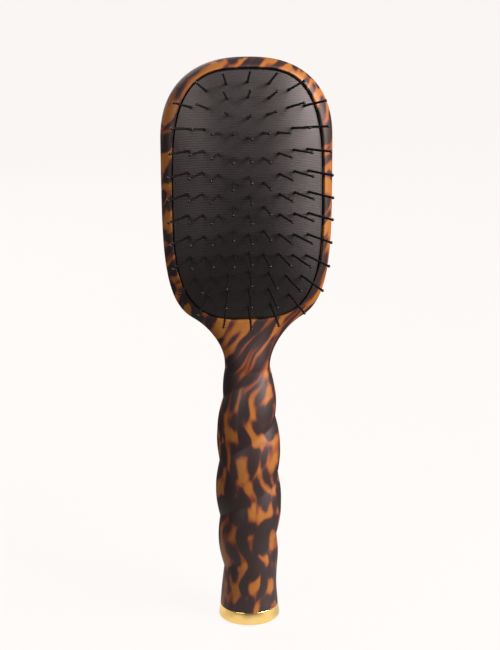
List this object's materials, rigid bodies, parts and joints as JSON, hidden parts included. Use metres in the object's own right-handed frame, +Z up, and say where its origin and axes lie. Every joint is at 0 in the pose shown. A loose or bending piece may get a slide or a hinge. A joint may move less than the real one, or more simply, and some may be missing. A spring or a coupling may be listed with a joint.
{
  "type": "paddle hairbrush",
  "caption": "Cushioned paddle hairbrush with ball-tipped pins and a spiral-grooved handle that stands upright on a flared metal end cap.",
  "frame": {"origin": "centre of the cap's foot face, which the brush stands on", "axes": "+Z up the brush from the foot to the head, -Y the way the pins face, +X to the right seen from the front"},
  "size_m": [0.0724, 0.0446, 0.25],
  "materials": {
    "shell_plastic": "satin tortoiseshell, amber with dark brown patches",
    "cap_metal": "polished gold plating",
    "cushion_rubber": "black, with very fine cross ribs",
    "pin_plastic": "black nylon",
    "inner_plastic": "plain moulded black"
  },
  "bodies": {
    "root": {"front_shell": "shell_plastic", "rear_shell": "shell_plastic", "end_cap": "cap_metal", "cap_plug": "inner_plastic", "cushion_membrane": "cushion_rubber", "retaining_ring": "inner_plastic"},
    "crown_pins": {"crown_pins": "pin_plastic"},
    "inner_pins": {"inner_pins_top": "pin_plastic", "inner_pins_bottom": "pin_plastic", "inner_pins_left": "pin_plastic", "inner_pins_right": "pin_plastic"},
    "middle_pins": {"middle_pins_top": "pin_plastic", "middle_pins_bottom": "pin_plastic", "middle_pins_left": "pin_plastic", "middle_pins_right": "pin_plastic"},
    "outer_pins": {"outer_pins_top": "pin_plastic", "outer_pins_bottom": "pin_plastic", "outer_pins_left": "pin_plastic", "outer_pins_right": "pin_plastic"},
    "edge_pins": {"edge_pins_top": "pin_plastic", "edge_pins_left": "pin_plastic", "edge_pins_right": "pin_plastic"},
    "border_pins": {"border_pins_top": "pin_plastic", "border_pins_bottom": "pin_plastic", "border_pins_left": "pin_plastic", "border_pins_right": "pin_plastic"}
  },
  "joints": [
    {"name": "cushion_press", "type": "slide", "parent": "root", "child": "crown_pins", "axis": [0, 1, 0], "range_m": [0, 0.005], "stiffness_N_per_m": 800, "deforming": ["cushion_membrane"]},
    {"name": "inner_press", "type": "slide", "parent": "root", "child": "inner_pins", "axis": [0, 1, 0], "range_m": [0, 0.00445]},
    {"name": "middle_press", "type": "slide", "parent": "root", "child": "middle_pins", "axis": [0, 1, 0], "range_m": [0, 0.00369]},
    {"name": "outer_press", "type": "slide", "parent": "root", "child": "outer_pins", "axis": [0, 1, 0], "range_m": [0, 0.003]},
    {"name": "edge_press", "type": "slide", "parent": "root", "child": "edge_pins", "axis": [0, 1, 0], "range_m": [0, 0.00249]},
    {"name": "border_press", "type": "slide", "parent": "root", "child": "border_pins", "axis": [0, 1, 0], "range_m": [0, 0.0019]}
  ],
  "couplings": [
    {"joint": "inner_press", "follows": "cushion_press", "ratio": 0.88},
    {"joint": "middle_press", "follows": "cushion_press", "ratio": 0.729},
    {"joint": "outer_press", "follows": "cushion_press", "ratio": 0.591},
    {"joint": "edge_press", "follows": "cushion_press", "ratio": 0.488},
    {"joint": "border_press", "follows": "cushion_press", "ratio": 0.37}
  ]
}
